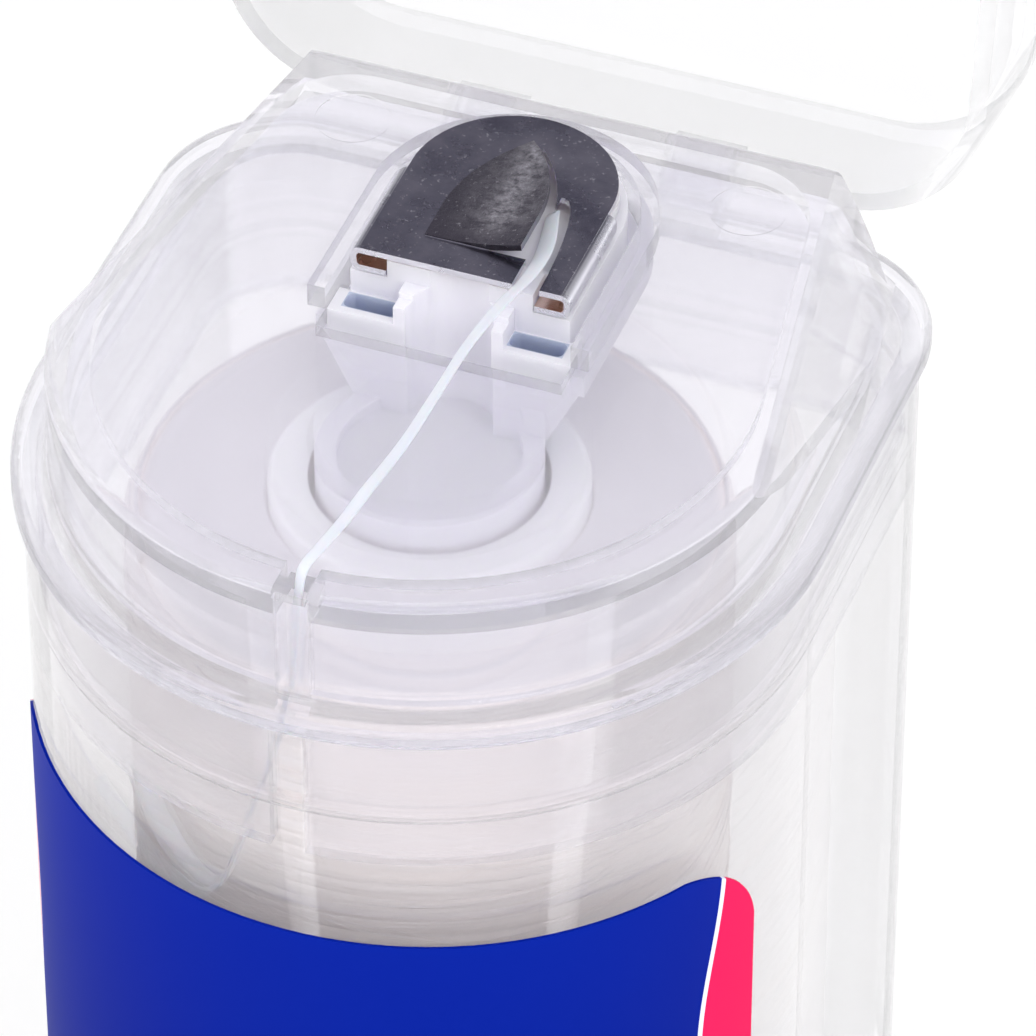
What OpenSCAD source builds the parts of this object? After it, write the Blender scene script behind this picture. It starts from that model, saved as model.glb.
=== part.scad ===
/* [Container] */
// Radius of the round front, outside of the container wall
body_r = 15; // [14:0.1:18]
// Distance from the bobbin axis to the flat back, outside
body_back = 16.4; // [15.4:0.1:19]
// Radius of the two rear corners
corner_r = 5; // [3.5:0.1:7]
// Height of the container up to its mouth
body_h = 42.8; // [30:0.1:60]
// Wall thickness of the container
body_wall = 0.7; // [0.6:0.05:0.9]
// Thickness of the container floor
floor_t = 1; // [0.8:0.1:2]
// Rounding of the bottom edge
foot_r = 0.8; // [0.4:0.1:1]
// Height of the ring on the floor that the bobbin turns on
spigot_h = 3; // [2:0.1:5]

/* [Closure] */
// How far the flange overhangs the container wall
flange_lip = 0.4; // [0.2:0.05:0.8]
// Thickness of the flange
flange_t = 1.2; // [0.8:0.05:1.6]
// Depth of the skirt that plugs into the container
skirt_h = 6.3; // [5:0.1:9]
// Wall thickness of the skirt
skirt_wall = 0.7; // [0.5:0.05:1]
// Gap between the flange and the container's mouth
mouth_gap = 0.03; // [0.02:0.01:0.1]
// Gap between the skirt and the container wall
skirt_gap = 0.05; // [0.02:0.01:0.1]
// Height of the snap bead under the flange
bead_drop = 3.9; // [2.5:0.1:5]
// Radius of the snap bead
bead_r = 0.25; // [0.15:0.05:0.3]
// Height of the raised top over the flange
top_h = 4.4; // [3.5:0.1:6]
// How far the raised top stands in from the container wall
top_inset = 1; // [0.8:0.05:1.6]
// Wall thickness of the raised top
top_wall = 0.8; // [0.6:0.05:1.1]
// Rounding of the raised top's upper edge
top_round = 0.45; // [0.2:0.05:0.6]
// Radius of the hollow corner between the flange and the raised top
top_fillet = 0.6; // [0.3:0.05:0.8]
// Rounding of the flange's edges
flange_round = 0.4; // [0.2:0.05:0.5]
// Radius of the rim's inner edge round the front
rim_r = 12.35; // [11:0.05:13]
// Distance from the bobbin axis to the rim's inner edge at the back
rim_back = 14.4; // [13.5:0.05:15.5]
// Radius of the rim's inner edge in the rear corners
rim_corner = 3.2; // [2:0.1:5]
// Angle by which the rim's sides draw in towards the back
rim_taper = 9.3; // [4:0.1:12]
// Width of the rim along the slanted sides
rim_w = 0.45; // [0.3:0.05:0.8]
// Angle of the slanted sides from upright
side_lean = 30; // [15:1:40]
// Depth of the floor below the rim
recess_d = 0.8; // [0.5:0.05:1.2]
// Thickness of the floor inside the rim
plate_t = 0.8; // [0.6:0.05:1.2]
// Radius of the ejector marks
mark_r = 1.45; // [1:0.05:2]
// Distance of each ejector mark from the middle
mark_x = 7.9; // [6:0.1:9]
// Distance of the ejector marks from the rim's inner edge at the back
mark_back = 1.7; // [1.5:0.1:4]
// Depth of the ejector marks
mark_d = 0.06; // [0.04:0.01:0.12]

/* [Floss slot] */
// Width of the slot that the floss runs through
slot_w = 1.3; // [1:0.05:2]
// Depth of the notch where the floss comes over the front of the rim
notch_d = 0.4; // [0.2:0.05:0.7]
// How far the slot reaches into the floor inside the rim
slot_reach = 0.35; // [0.2:0.05:0.8]

/* [Cutter seat] */
// Half of the width of the wall round the cutter
seat_w = 5.5; // [5.2:0.05:6.5]
// Thickness of the wall round the cutter
seat_wall = 0.7; // [0.5:0.05:1]
// Centre of the wall's arch behind the bobbin axis
seat_y = 8.7; // [8:0.1:9.5]
// Front of the wall behind the bobbin axis
seat_front = 1.9; // [1.4:0.1:2.5]
// Height of the wall over the rim
seat_rise = 0.2; // [0:0.05:0.6]

/* [Cutter] */
// Half of the width of the steel
cutter_w = 4.3; // [4:0.05:4.6]
// Thickness of the steel
steel_t = 0.25; // [0.2:0.05:0.35]
// Front edge of the steel behind the bobbin axis
cutter_front = 3.2; // [3:0.1:4]
// Where the folded sides end and the arch begins
fold_end = 8.2; // [7.5:0.1:8.6]
// Radius of the steel's arch
cutter_arch = 3.95; // [3.5:0.05:4.2]
// Height of the steel's upper face over the rim
cutter_rise = 1.35; // [1.1:0.05:1.8]
// Height of the folded sides
fold_h = 1.05; // [0.9:0.05:1.2]
// Width of the lips folded under
fold_lip = 1.4; // [0.9:0.05:1.6]
// Outer radius of the bends in the folded sides
bend_r = 0.4; // [0.35:0.05:0.45]
// Half of the width of the tooth
tooth_w = 1.9; // [1.5:0.05:2.2]
// Length of the tooth
tooth_l = 6.4; // [5.5:0.1:7.2]
// Length of the tooth's straight sides
tooth_flank = 1.9; // [1:0.1:3]
// Radius of the tooth's hollow, across its width
tooth_hollow = 11; // [8:0.5:16]
// Angle by which the tooth is lifted on its open side
tooth_lift = 8; // [5:0.5:12]
// Distance from the steel's front edge to the base of the tooth
tooth_set = 1.5; // [1.2:0.1:2.2]
// Gap between the tooth's open side and the window under it
window_gap = 0.25; // [0.15:0.05:0.4]
// Height of the step where the tooth's closed side leaves the steel
tooth_step = 0.08; // [0.04:0.01:0.15]
// How far the window reaches past the tooth's middle
window_in = 0.4; // [0:0.1:1]
// Width of the slot in the steel's front edge that leads the floss to the tooth
entry_w = 1.2; // [0.9:0.05:1.5]

/* [Floss guide] */
// Thickness of the guide's shelf under the floor
shelf_t = 0.9; // [0.6:0.1:1.4]
// Gap between the guide and the closure or the steel
guide_gap = 0.05; // [0.03:0.01:0.1]
// Wall thickness of the hub
hub_wall = 0.8; // [0.6:0.05:1.1]
// Depth of the hub inside the bobbin core
hub_in = 4.5; // [3:0.1:8]
// Gap between the hub and the bobbin core
hub_gap = 0.25; // [0.15:0.05:0.5]
// Radius of the round groove in the guide's front
guide_notch = 1.7; // [1.3:0.05:1.9]
// Height of the lip across the guide's front
front_lip_h = 1.1; // [0.9:0.05:1.4]
// How far the hub's front stands back under the lip
hub_set = 0.15; // [0.1:0.05:0.4]
// Half of the width of the raised middle in front of the steel
cheek_w = 2.15; // [2:0.05:2.4]
// Length of the step in the raised middle's front
step_l = 0.6; // [0.4:0.05:0.8]
// Depth of the step in the raised middle's front
step_d = 0.25; // [0.1:0.05:0.4]
// Height over the bobbin core at which the hub's front is cut away
hub_open = 1.1; // [0.8:0.1:1.5]
// Depth of the hub's shallow cup
cup_d = 0.45; // [0.3:0.05:0.6]
// Thickness of the floor that closes the hub under the cup
cup_floor = 0.5; // [0.4:0.05:0.6]
// Thickness of the webs beside the hub
web_t = 0.8; // [0.6:0.1:1.2]
// Depth of the hollow under the tooth, from the steel's lower face
hollow_d = 0.5; // [0.4:0.05:0.7]
// How far back the folded sides are empty at the front
fold_empty = 1.3; // [0.8:0.1:2]
// Width of the pockets in front of the folded sides
pocket_w = 2.1; // [1.6:0.1:2.3]
// Length of the pockets in front of the folded sides
pocket_l = 0.8; // [0.6:0.05:0.9]
// Radius of the pockets' corners
pocket_r = 0.25; // [0.1:0.05:0.3]
// Wall between the pockets and the folded sides
pocket_back = 0.1; // [0.05:0.05:0.2]
// Thickness of the floor under the pockets
pocket_floor = 0.25; // [0.2:0.05:0.4]

/* [Lid] */
// Angle to which the lid stands open
lid_open = 100; // [0:1:130]
// Wall thickness of the lid's sides
lid_wall = 0.7; // [0.5:0.05:0.9]
// Thickness of the lid's top
lid_top_t = 0.85; // [0.6:0.05:1.2]
// Rounding of the lid's upper edge
lid_round = 0.8; // [0.4:0.1:1.2]
// Gap between the closed lid and the flange
lid_gap = 0.15; // [0.1:0.05:0.3]
// Height inside the lid above the steel
lid_headroom = 1.5; // [1.3:0.1:2.5]
// Half of the width of the thumb lip
lip_w = 3.5; // [2.5:0.1:5]
// How far the thumb lip stands out
lip_out = 0.8; // [0.5:0.1:1.2]

/* [Hinge] */
// How far the hinge axis lies behind the container's back
hinge_back = 0.9; // [0.8:0.05:1.3]
// Height of the hinge axis over the flange
hinge_up = 0.5; // [0.4:0.05:0.8]
// Radius of the hinge knuckles
knuckle_r = 1.1; // [0.95:0.05:1.2]
// Radius of the pivots on the lid's knuckle
pivot_r = 0.6; // [0.5:0.05:0.7]
// Gap round the pivots
pivot_gap = 0.06; // [0.04:0.01:0.1]
// Half of the length of the lid's knuckle
knuckle_w = 3; // [2:0.1:4]
// Length of each knuckle on the closure
lug_w = 2.4; // [1.6:0.1:3]
// How far each of them reaches in over the container's wall
lug_root = 1; // [0.8:0.1:2]
// Gap between neighbouring knuckles
knuckle_gap = 0.2; // [0.1:0.05:0.4]
// Room in front of the lid's knuckle in the flange
knuckle_room = 0.25; // [0.15:0.05:0.4]

/* [Bobbin] */
// Outer radius of the bobbin core
core_r = 6; // [5.5:0.1:7]
// Radius of the bore in the bobbin core
core_bore = 4.5; // [4.2:0.1:5]
// Gap between the ring on the floor and the core's bore
spigot_gap = 0.08; // [0.05:0.01:0.1]
// Gap between the bobbin core and the floor
core_lift = 0.2; // [0.1:0.05:0.4]
// How far the top of the core lies under the rim
core_drop = 6.1; // [5.5:0.1:8]
// How far the core stands out of the floss at each end
core_show = 0.7; // [0.4:0.1:1.5]
// Radius of the wound floss
wound_r = 11.4; // [9:0.1:11.8]
// Number of turns in the outer layer
turns = 24; // [12:1:24]
// Thickness of one turn of the outer layer
turn_d = 1.1; // [0.8:0.05:1.15]
// Rounding of the core's outer edges
core_edge = 0.25; // [0.1:0.05:0.5]
// Rounding of the floss package's outer edges
wound_edge = 0.8; // [0.4:0.1:1.5]
// Gap between the floss and the core, and between the package and its outer turns
wound_gap = 0.04; // [0.02:0.01:0.1]

/* [Label] */
// Height of the label's upper edge under the rim
label_drop = 15.5; // [12:0.1:20]
// Height of the label's lower edge over the table
label_foot = 4; // [2:0.1:8]
// Angle from the front to each end of the label
label_turn = 73; // [50:1:80]
// Rounding of the label's corners
label_corner = 4.5; // [2:0.1:6]
// Thickness of the label
label_t = 0.12; // [0.08:0.01:0.2]

/* [Floss strand] */
// Diameter of the loose strand
strand_d = 0.6; // [0.4:0.1:0.8]

/* [Hidden] */
$fn = 96;
cut = 1;
deck_z = body_h + flange_t;
rim_z = deck_z + top_h;
plate_z = rim_z - recess_d;
under_z = plate_z - plate_t;
bead_z = body_h - bead_drop;
skirt_in = body_wall + skirt_gap;
side_x = (rim_r + rim_w) / cos(rim_taper);
steel_z = rim_z + cutter_rise;
fold_z = steel_z - fold_h;
shelf_z = under_z - guide_gap - shelf_t;
core_top = rim_z - core_drop;
core_foot = floor_t + core_lift;
floss_top = core_top - core_show;
floss_foot = core_foot + core_show;
hub_r = core_bore - hub_gap;
slot_y = top_inset + top_wall / 2 - body_r;
neck_w = cutter_w - fold_lip - guide_gap;
guide_front = seat_front + guide_gap;
hub_front = guide_front + hub_set;
ledge_w = seat_w - seat_wall - guide_gap;
pocket_x = cheek_w + guide_gap + pocket_w / 2;
cup_z = core_top + hub_open - cup_d;
hub_foot = core_top - hub_in;
lip_z = plate_z - front_lip_h;
tooth_y = cutter_front + tooth_set;
// Slot in the steel, from its front edge back to the tooth's open side, with one curved edge
entry_end = tooth_y + 2 * tooth_flank;
entry_steps = 8;
entry_x = tooth_w + window_gap / 2;
entry_points = concat([[entry_x, entry_end], [entry_x, cutter_front - cut],
                       [tooth_w + entry_w, cutter_front - cut]],
                      [for (k = [0 : entry_steps]) entry_edge(90 * k / entry_steps)]);
function entry_edge(a) = [tooth_w + window_gap + (entry_w - window_gap) * cos(a),
                          cutter_front + (entry_end - cutter_front) * sin(a)];
turn_r = wound_r - turn_d / 2;
label_top = rim_z - label_drop;
hinge_y = body_back + hinge_back;
hinge_z = deck_z + hinge_up;
lid_foot = deck_z + lid_gap;
lid_inside = steel_z + lid_headroom;
lid_crown = lid_inside + lid_top_t;
// Outer layer of wound floss: rings round the axis, with a straight run at each end
turn_steps = 24;
turn_sides = 6;
turn_first = 0.6 * turn_d;
turn_spare = 0.2;
turn_pitch = (floss_top - floss_foot - turn_d) / (turns + turn_spare);
pack_r = turn_r * cos(180 / turn_steps) - turn_d / 2 - wound_gap;
turn_rings = concat([turn_ring(0, -turn_d)], [for (i = [0 : turns * turn_steps]) turn_ring(i, 0)],
                    [turn_ring(turns * turn_steps, turn_d)]);
least_gap = min([for (i = [0 : turn_steps - 1], p = turn_rings[i], q = turn_rings[i + turn_steps])
                 norm(p - q)]);
// Route of the loose strand, from the wound floss up through the slot and over to the cutter
strand_route = [
  [-8.2, -9, 33.4], [-7.2, -10, 32.8], [-6.1, -10.9, 32.1], [-5, -11.7, 31.7], [-3.9, -12.3, 31.7],
  [-3.1, -12.6, 32.6], [-2.6, -12.8, 34], [-2.2, -12.9, 35.4], [-1.8, -12.9, 36.8], [-1.4, -12.9, 38.2],
  [-1, -12.9, 39.6], [-0.7, -12.9, 41], [-0.4, -13, 42.4], [-0.2, -13.1, 43.8], [-0.1, -13.1, 45.2],
  [0, -13.15, 46.6], [0.1, -13.15, 47.8], [0.2, -12.9, 48.8], [0.5, -11.9, 49.1], [0.8, -10.4, 49.2],
  [1, -8.8, 49.3], [1.2, -7.2, 49.3], [1.4, -5.6, 49.4], [1.5, -4, 49.5], [1.6, -2.4, 49.6],
  [1.7, -0.8, 49.7], [1.95, 0.8, 49.85], [2.25, 2.2, 49.95], [2.5, 3.4, 49.9], [2.55, 4.6, 49.8],
  [2.4, 5.8, 49.6], [2.15, 6.9, 49.5], [1.9, 7.9, 49.4]];
strand_last = len(strand_route) - 1;
strand_sides = 8;
// A direction that the strand never runs in, from which its rings are turned
strand_side = [0.3, -0.6, -0.2];
// The circle that rounds a label's corner is a little larger than the corner and crosses its edges
corner_over = 1.02;

// Plan of the container, moved in from the wall by an inset
module outline(inset = 0) {
  r = body_r - inset;
  back = body_back - inset;
  c = corner_r - inset;
  circle(r);
  translate([-r, 0]) square([2 * r, back - c]);
  translate([c - r, 0]) square([2 * (r - c), back]);
  for (side = [-1, 1]) translate([side * (r - c), back - c]) circle(c);
}

// Plate with the plan of the container
module slab(z0, z1, inset) {
  translate([0, 0, z0]) linear_extrude(z1 - z0) outline(inset);
}

// Plate with the plan of the container and rounded lower and upper edges
module rounded_slab(z0, z1, inset, low, high) {
  slab(z0 + low, z1 - high, inset);
  if (low > 0) slab(z0, z0 + low, inset + low);
  if (low > 0) around() translate([-inset - low, z0 + low]) mirror([0, 1]) quarter(low);
  if (high > 0) slab(z1 - high, z1, inset + high);
  if (high > 0) around() translate([-inset - high, z1 - high]) quarter(high);
}

// Sweeps a profile round the plan: x is measured outwards from the wall, y is the height
module around() {
  run = body_back - corner_r;
  half = body_r - corner_r;
  rotate([0, 0, 180]) rotate_extrude(angle = 180) translate([body_r, 0]) children();
  for (side = [0, 1]) mirror([side, 0, 0]) {
    translate([0, run, 0]) rotate([90, 0, 0]) linear_extrude(run) translate([body_r, 0]) children();
    translate([half, run, 0]) rotate_extrude(angle = 90) translate([corner_r, 0]) children();
  }
  translate([-half, 0, 0]) rotate([90, 0, 90]) linear_extrude(2 * half)
    translate([body_back, 0]) children();
}

// Quarter of a disc that rounds an edge, with its square corner at the origin
module quarter(r) {
  intersection() {
    circle(r);
    square(r);
  }
}

module container_body() {
  color([0.86, 0.88, 0.95, 0.45])
  difference() {
    rounded_slab(0, body_h - mouth_gap, 0, foot_r, 0);
    difference() {
      slab(floor_t, body_h + cut, body_wall);
      cylinder(r = core_bore - spigot_gap, h = floor_t + spigot_h);
    }
    translate([0, 0, floor_t]) cylinder(r = core_bore - spigot_gap - body_wall, h = body_h);
    around() translate([-skirt_in, bead_z]) circle(bead_r + skirt_gap);
  }
}

// Plan of the recess inside the rim, grown by an amount
module rim_outline(grow = 0) {
  r = rim_r + grow;
  back = rim_back + grow;
  c = rim_corner + grow;
  cx = (r - c - (back - c) * sin(rim_taper)) / cos(rim_taper);
  circle(r);
  polygon([[0, 0], [r * cos(rim_taper), r * sin(rim_taper)],
           [cx + c * cos(rim_taper), back - c + c * sin(rim_taper)], [cx, back],
           [-cx, back], [-cx - c * cos(rim_taper), back - c + c * sin(rim_taper)],
           [-r * cos(rim_taper), r * sin(rim_taper)]]);
  for (side = [-1, 1]) translate([side * cx, back - c]) circle(c);
}

// The two slanted cuts that draw in the sides of the raised top
module side_cuts(inwards = 0) {
  for (side = [0, 1]) mirror([side, 0, 0])
    translate([side_x - inwards / cos(side_lean), 0, rim_z]) rotate([0, 0, rim_taper])
      rotate([0, -side_lean, 0]) translate([0, -2 * body_r, -2 * top_h])
        cube([body_r, 4 * body_r, 4 * top_h]);
}

// Plan of the wall round the cutter, moved in by an inset
module seat_outline(inset = 0, front = seat_front) {
  w = seat_w - inset;
  translate([0, seat_y]) circle(w);
  translate([-w, front]) square([2 * w, seat_y - front]);
}

// Profile that fills the corner between the flange and the raised top
module hollow_corner() {
  difference() {
    translate([-top_wall / 2, -flange_t / 2])
      square([top_wall / 2 + top_fillet, flange_t / 2 + top_fillet]);
    translate([top_fillet, top_fillet]) circle(top_fillet);
  }
}

// Knuckle on the closure, from its inner end outwards
module lug() {
  translate([knuckle_w + knuckle_gap, 0, 0]) {
    translate([0, hinge_y, hinge_z]) rotate([0, 90, 0]) cylinder(r = knuckle_r, h = lug_w);
    translate([0, body_back - lug_root, body_h]) cube([lug_w, hinge_back + lug_root, hinge_z - body_h]);
  }
}

module closure() {
  color([0.88, 0.9, 0.97, 0.4])
  difference() {
    union() {
      rounded_slab(body_h, deck_z, -flange_lip, flange_round, flange_round);
      slab(body_h - skirt_h, body_h + flange_t / 2, skirt_in);
      around() translate([-skirt_in, bead_z]) circle(bead_r);
      difference() {
        union() {
          rounded_slab(deck_z - flange_t / 2, rim_z, top_inset, 0, top_round);
          around() translate([-top_inset, deck_z]) hollow_corner();
        }
        side_cuts();
        translate([0, 0, plate_z]) linear_extrude(2 * recess_d) rim_outline();
      }
      translate([0, 0, plate_z]) linear_extrude(recess_d + seat_rise) seat_outline();
      for (side = [0, 1]) mirror([side, 0, 0]) lug();
    }
    // Hollow of the skirt and of the raised top
    slab(body_h - skirt_h - cut, deck_z - flange_t / 2, skirt_in + skirt_wall);
    difference() {
      slab(body_h, under_z, top_inset + top_wall);
      side_cuts(top_wall);
    }
    // Seat for the guide and the cutter, open through the floor and at the front
    translate([0, 0, under_z - cut]) linear_extrude(plate_t + recess_d + seat_rise + 2 * cut)
      seat_outline(seat_wall, seat_front - cut);
    // Shallow round marks left by the mould's ejector pins
    for (side = [-1, 1]) translate([side * mark_x, rim_back - mark_back, plate_z - mark_d])
      cylinder(r = mark_r, h = cut);
    // Slot that the floss runs through, up the front and over the rim
    translate([-slot_w / 2, -body_r, body_h - skirt_h - cut])
      cube([slot_w, body_r - rim_r + cut, skirt_h + cut - slot_w / 2]);
    translate([-slot_w / 2, slot_y, body_h])
      cube([slot_w, slot_reach - rim_r - slot_y, 2 * top_h]);
    translate([-slot_w / 2, -body_r, rim_z - notch_d])
      cube([slot_w, body_r - rim_r + slot_reach, 2 * notch_d]);
    // Clearance for the lid's knuckle and bores for its pivots
    translate([-knuckle_w - knuckle_gap, hinge_y - knuckle_r - knuckle_room, body_h - cut])
      cube([2 * (knuckle_w + knuckle_gap), body_back, flange_t + 2 * cut]);
    translate([-knuckle_w - lug_w - 2 * cut, hinge_y, hinge_z]) rotate([0, 90, 0])
      cylinder(r = pivot_r + pivot_gap, h = 2 * (knuckle_w + lug_w + 2 * cut));
  }
}

// The lid as it lies when it is closed
module lid_closed() {
  difference() {
    union() {
      rounded_slab(lid_foot, lid_crown, -flange_lip, 0, lid_round);
      translate([-lip_w, -body_r - flange_lip - lip_out, lid_foot])
        cube([2 * lip_w, body_r / 2, lid_wall]);
    }
    slab(lid_foot - cut, lid_inside, lid_wall - flange_lip);
    // Room for the closure's knuckles
    for (side = [0, 1]) mirror([side, 0, 0])
      translate([knuckle_w, hinge_y - 2 * knuckle_r, lid_foot - cut])
        cube([lug_w + 2 * knuckle_gap, 4 * knuckle_r,
              hinge_z + knuckle_r + knuckle_gap - lid_foot + cut]);
  }
  translate([-knuckle_w, hinge_y, hinge_z]) rotate([0, 90, 0]) cylinder(r = knuckle_r, h = 2 * knuckle_w);
  translate([-knuckle_w - lug_w, hinge_y, hinge_z]) rotate([0, 90, 0])
    cylinder(r = pivot_r, h = 2 * (knuckle_w + lug_w));
}

module lid() {
  color([0.9, 0.92, 0.98, 0.35])
  translate([0, hinge_y, hinge_z]) rotate([-lid_open, 0, 0])
    translate([0, -hinge_y, -hinge_z]) lid_closed();
}

// Plan of the tooth: straight sides from its base, then two arcs that meet in a point at the back
module tooth_outline(grow = 0) {
  w = tooth_w + grow;
  l = tooth_l - tooth_flank + grow;
  side_r = (l * l + w * w) / (2 * w);
  steps = 8;
  sweep = asin(l / side_r) / steps;
  side = [for (k = [0 : steps - 1]) [w - side_r + side_r * cos(sweep * k), side_r * sin(sweep * k)]];
  translate([0, tooth_flank]) polygon(concat([[-w, -tooth_flank], [w, -tooth_flank]], side, [[0, l]],
    [for (k = [steps - 1 : -1 : 0]) [-side[k][0], side[k][1]]]));
}

// Cross-section of one folded side of the steel, from the middle outwards
module fold_profile() {
  difference() {
    fold_shape(fold_lip, fold_h, bend_r);
    translate([-steel_t, steel_t]) fold_shape(fold_lip, fold_h - 2 * steel_t, bend_r - steel_t);
  }
}

module fold_shape(w, h, bend) {
  square([w - bend, h]);
  translate([0, bend]) square([w, h - 2 * bend]);
  for (y = [bend, h - bend]) translate([w - bend, y]) circle(bend);
}

module steel_outline(grow = 0) {
  translate([0, seat_y]) circle(cutter_arch + grow);
  translate([-cutter_arch - grow, cutter_front])
    square([2 * (cutter_arch + grow), seat_y - cutter_front]);
}

module cutter() {
  color([0.42, 0.42, 0.45]) {
    difference() {
      union() {
        translate([0, 0, steel_z - steel_t]) linear_extrude(steel_t) steel_outline();
        for (side = [0, 1]) mirror([side, 0, 0]) translate([cutter_w - fold_lip, fold_end, fold_z])
          rotate([90, 0, 0]) linear_extrude(fold_end - cutter_front) fold_profile();
      }
      // Window round the tooth, left standing at its closed side
      translate([0, tooth_y, steel_z - steel_t - cut]) linear_extrude(2 * cut) difference() {
        tooth_outline(window_gap);
        translate([-2 * tooth_w, -cut]) square([2 * tooth_w + window_in, tooth_l + 2 * cut]);
      }
      translate([0, 0, steel_z - fold_h / 2]) linear_extrude(cut) polygon(entry_points);
    }
    // The tooth, hollow across and lifted on its open side
    translate([-tooth_w, tooth_y, steel_z + tooth_step - steel_t]) rotate([0, -tooth_lift, 0]) intersection() {
      translate([tooth_w, 0, -tooth_w]) linear_extrude(2 * tooth_w) tooth_outline();
      translate([tooth_w, tooth_l + cut, sqrt(pow(tooth_hollow, 2) - pow(tooth_w, 2))]) rotate([90, 0, 0])
        difference() {
          cylinder(r = tooth_hollow, h = tooth_l + 2 * cut);
          translate([0, 0, -cut]) cylinder(r = tooth_hollow - steel_t, h = tooth_l + 4 * cut);
        }
    }
  }
}

module floss_guide() {
  color([0.95, 0.95, 0.98])
  difference() {
    union() {
      // Shelf under the floor
      translate([0, 0, shelf_z]) linear_extrude(shelf_t) seat_outline(seat_wall / 3, hub_front);
      // Lip across the front, level with the floor
      translate([-ledge_w, guide_front, lip_z])
        cube([2 * ledge_w, cutter_front + guide_gap - guide_front, front_lip_h]);
      // Raised middle in front of the steel, with the groove between its cheeks
      translate([-cheek_w, guide_front, lip_z])
        cube([2 * cheek_w, cutter_front + cheek_w - guide_front, fold_z - guide_gap - lip_z]);
      // Block that rises through the floor under the steel
      translate([0, 0, shelf_z]) linear_extrude(fold_z - guide_gap - shelf_z)
        seat_outline(seat_w - cutter_w, cutter_front);
      // Neck between the folded sides
      translate([-neck_w, cutter_front, shelf_z])
        cube([2 * neck_w, seat_y - cutter_front, steel_z - steel_t - guide_gap - shelf_z]);
      // Bed that the steel slides over
      translate([0, 0, fold_z + steel_t + guide_gap])
        linear_extrude(fold_h - 2 * steel_t - 2 * guide_gap)
          steel_outline(cutter_w - cutter_arch - steel_t - guide_gap);
      // Hub that runs down into the bobbin core, with a web on each side
      translate([0, 0, hub_foot]) cylinder(r = hub_r, h = shelf_z + shelf_t / 2 - hub_foot);
      for (side = [0, 1]) mirror([side, 0, 0]) translate([0, hub_front + web_t, 0])
        rotate([90, 0, 0]) linear_extrude(web_t) web_outline();
    }
    // Hollow of the hub, from below
    translate([0, 0, hub_foot - cut])
      cylinder(r = hub_r - hub_wall, h = cup_z - cup_floor - hub_foot + cut);
    // The hub's cup over the bobbin, and its front cut away above that
    intersection() {
      translate([0, 0, cup_z]) cylinder(r = hub_r - hub_wall, h = shelf_z - cup_z);
      translate([-body_r, -body_r, cup_z - cut]) cube([2 * body_r, body_r + hub_front, shelf_z]);
    }
    translate([-body_r, -body_r, core_top + hub_open])
      cube([2 * body_r, body_r + hub_front, lip_z - core_top - hub_open]);
    // Groove down the front
    translate([0, guide_front, cup_z]) cylinder(r = guide_notch, h = steel_z - cup_z);
    // Step in the front of the raised middle
    translate([-body_r, guide_front - cut, fold_z - guide_gap - step_d])
      cube([2 * body_r, step_l + cut, cut]);
    // Room in the mouths of the folded sides
    for (side = [0, 1]) mirror([side, 0, 0]) translate([neck_w, cutter_front - cut, fold_z])
      cube([body_r, fold_empty + cut, steel_z]);
    // Hollow under the tooth
    translate([-tooth_w - guide_gap, tooth_y - guide_gap, steel_z - steel_t - hollow_d])
      cube([2 * tooth_w + entry_w, tooth_l + guide_gap, cut]);
    // Pockets in front of the folded sides
    for (side = [-1, 1])
      translate([side * pocket_x, cutter_front - pocket_back - pocket_l / 2, shelf_z + pocket_floor])
        linear_extrude(rim_z - shelf_z) pocket_outline();
  }
}

// Web beside the hub, wider at its top
module web_outline() {
  low = core_top + hub_open;
  high = shelf_z + shelf_t / 4;
  inner = hub_r - 2 * hub_wall;
  polygon([[inner, low], [hub_r - hub_wall / 2, low], [seat_w - seat_wall / 2, high], [inner, high]]);
}

// Plan of a pocket, with rounded corners
module pocket_outline() {
  x = pocket_w / 2 - pocket_r;
  y = pocket_l / 2 - pocket_r;
  square([2 * x, pocket_l], center = true);
  square([pocket_w, 2 * y], center = true);
  for (a = [-x, x], b = [-y, y]) translate([a, b]) circle(pocket_r);
}

// Ring with rounded outer edges, as a solid of revolution
module rounded_tube(r_in, r_out, z0, z1, edge) {
  rotate_extrude() {
    translate([r_in, z0]) square([r_out - r_in - edge, z1 - z0]);
    translate([r_in, z0 + edge]) square([r_out - r_in, z1 - z0 - 2 * edge]);
    for (z = [z0 + edge, z1 - edge]) translate([r_out - edge, z]) circle(edge);
  }
}

module bobbin_core() {
  color([0.97, 0.97, 0.97]) rounded_tube(core_bore, core_r, core_foot, core_top, core_edge);
}

module floss_package() {
  color([0.93, 0.92, 0.88]) rounded_tube(core_r + wound_gap, pack_r, floss_foot, floss_top, wound_edge);
}

// Tube through a list of rings, each a list of points, closed at both ends
module ring_tube(rings) {
  n = len(rings[0]);
  last = len(rings) - 1;
  sides = [for (i = [0 : last - 1], j = [0 : n - 1])
    each [[i * n + j, i * n + (j + 1) % n, (i + 1) * n + j],
          [i * n + (j + 1) % n, (i + 1) * n + (j + 1) % n, (i + 1) * n + j]]];
  caps = [for (j = [1 : n - 2]) each [[0, j + 1, j], [last * n, last * n + j, last * n + j + 1]]];
  polyhedron(points = [for (ring = rings, p = ring) p], faces = concat(sides, caps), convexity = 10);
}

// Ring of n points round a centre, in the plane of the directions u and v
function ring_at(c, u, v, r, n) =
  [for (k = [0 : n - 1]) c + r * (cos(360 * k / n) * u + sin(360 * k / n) * v)];
function unit(v) = v / norm(v);

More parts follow.
